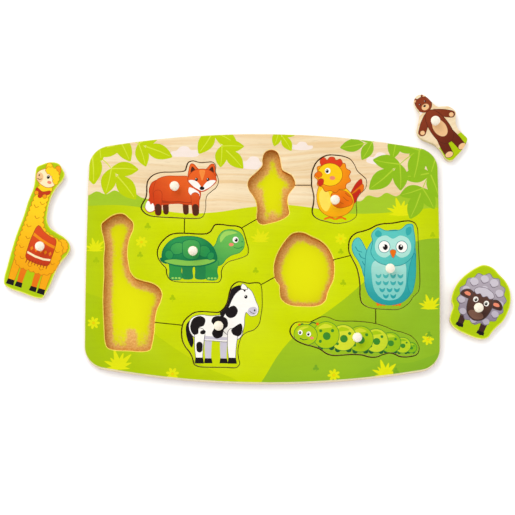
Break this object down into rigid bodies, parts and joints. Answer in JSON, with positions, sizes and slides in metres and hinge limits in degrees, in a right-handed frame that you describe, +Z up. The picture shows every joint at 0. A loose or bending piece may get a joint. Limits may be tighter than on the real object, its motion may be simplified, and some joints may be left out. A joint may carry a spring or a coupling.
{
  "type": "wooden peg puzzle",
  "caption": "Flat wooden peg puzzle: a two-layer bow-sided board with sawn recesses and printed cut-out pieces lifted by small mushroom pegs, some seated and some lying loose beside it.",
  "frame": {"origin": "middle of the board's underside, on the surface that the board and the loose pieces lie on", "axes": "+X along the board's long side, +Y along its short side, away from the player, +Z up, out of the printed face"},
  "size_m": [0.4287, 0.2529, 0.017],
  "materials": {
    "frame_print": "printed and satin lacquered plywood, pale bare edges",
    "raw_board": "unlacquered fine fibreboard, pale brown, with printed yellow-green silhouettes on the recess floors",
    "peg_wood": "smooth pale turned wood, satin",
    "fox_print": "printed and satin lacquered plywood, pale bare edges",
    "tortoise_print": "printed and satin lacquered plywood, pale bare edges",
    "pony_print": "printed and satin lacquered plywood, pale bare edges",
    "hen_print": "printed and satin lacquered plywood, pale bare edges",
    "owl_print": "printed and satin lacquered plywood, pale bare edges",
    "grub_print": "printed and satin lacquered plywood, pale bare edges",
    "llama_print": "printed and satin lacquered plywood, pale bare edges",
    "bear_print": "printed and satin lacquered plywood, pale bare edges",
    "sheep_print": "printed and satin lacquered plywood, pale bare edges"
  },
  "bodies": {
    "board": {"frame_board": "frame_print", "backing_board": "raw_board"},
    "fox": {"fox_piece": "fox_print", "fox_peg": "peg_wood"},
    "tortoise": {"tortoise_piece": "tortoise_print", "tortoise_peg": "peg_wood"},
    "pony": {"pony_piece": "pony_print", "pony_peg": "peg_wood"},
    "hen": {"hen_piece": "hen_print", "hen_peg": "peg_wood"},
    "owl": {"owl_piece": "owl_print", "owl_peg": "peg_wood"},
    "grub": {"grub_piece": "grub_print", "grub_peg": "peg_wood"},
    "llama": {"llama_piece": "llama_print", "llama_peg": "peg_wood"},
    "bear": {"bear_piece": "bear_print", "bear_peg": "peg_wood"},
    "sheep": {"sheep_piece": "sheep_print", "sheep_peg": "peg_wood"}
  },
  "joints": [
    {"name": "fox_lift", "type": "slide", "parent": "board", "child": "fox", "axis": [0, 0, 1], "range_m": [0, 0.04]},
    {"name": "tortoise_lift", "type": "slide", "parent": "board", "child": "tortoise", "axis": [0, 0, 1], "range_m": [0, 0.04]},
    {"name": "pony_lift", "type": "slide", "parent": "board", "child": "pony", "axis": [0, 0, 1], "range_m": [0, 0.04]},
    {"name": "hen_lift", "type": "slide", "parent": "board", "child": "hen", "axis": [0, 0, 1], "range_m": [0, 0.04]},
    {"name": "owl_lift", "type": "slide", "parent": "board", "child": "owl", "axis": [0, 0, 1], "range_m": [0, 0.04]},
    {"name": "grub_lift", "type": "slide", "parent": "board", "child": "grub", "axis": [0, 0, 1], "range_m": [0, 0.04]},
    {"name": "llama_lift", "type": "slide", "parent": "board", "child": "llama", "axis": [0, 0, 1], "range_m": [0, 0.04]},
    {"name": "bear_lift", "type": "slide", "parent": "board", "child": "bear", "axis": [0, 0, 1], "range_m": [0, 0.04]},
    {"name": "sheep_lift", "type": "slide", "parent": "board", "child": "sheep", "axis": [0, 0, 1], "range_m": [0, 0.04]}
  ]
}
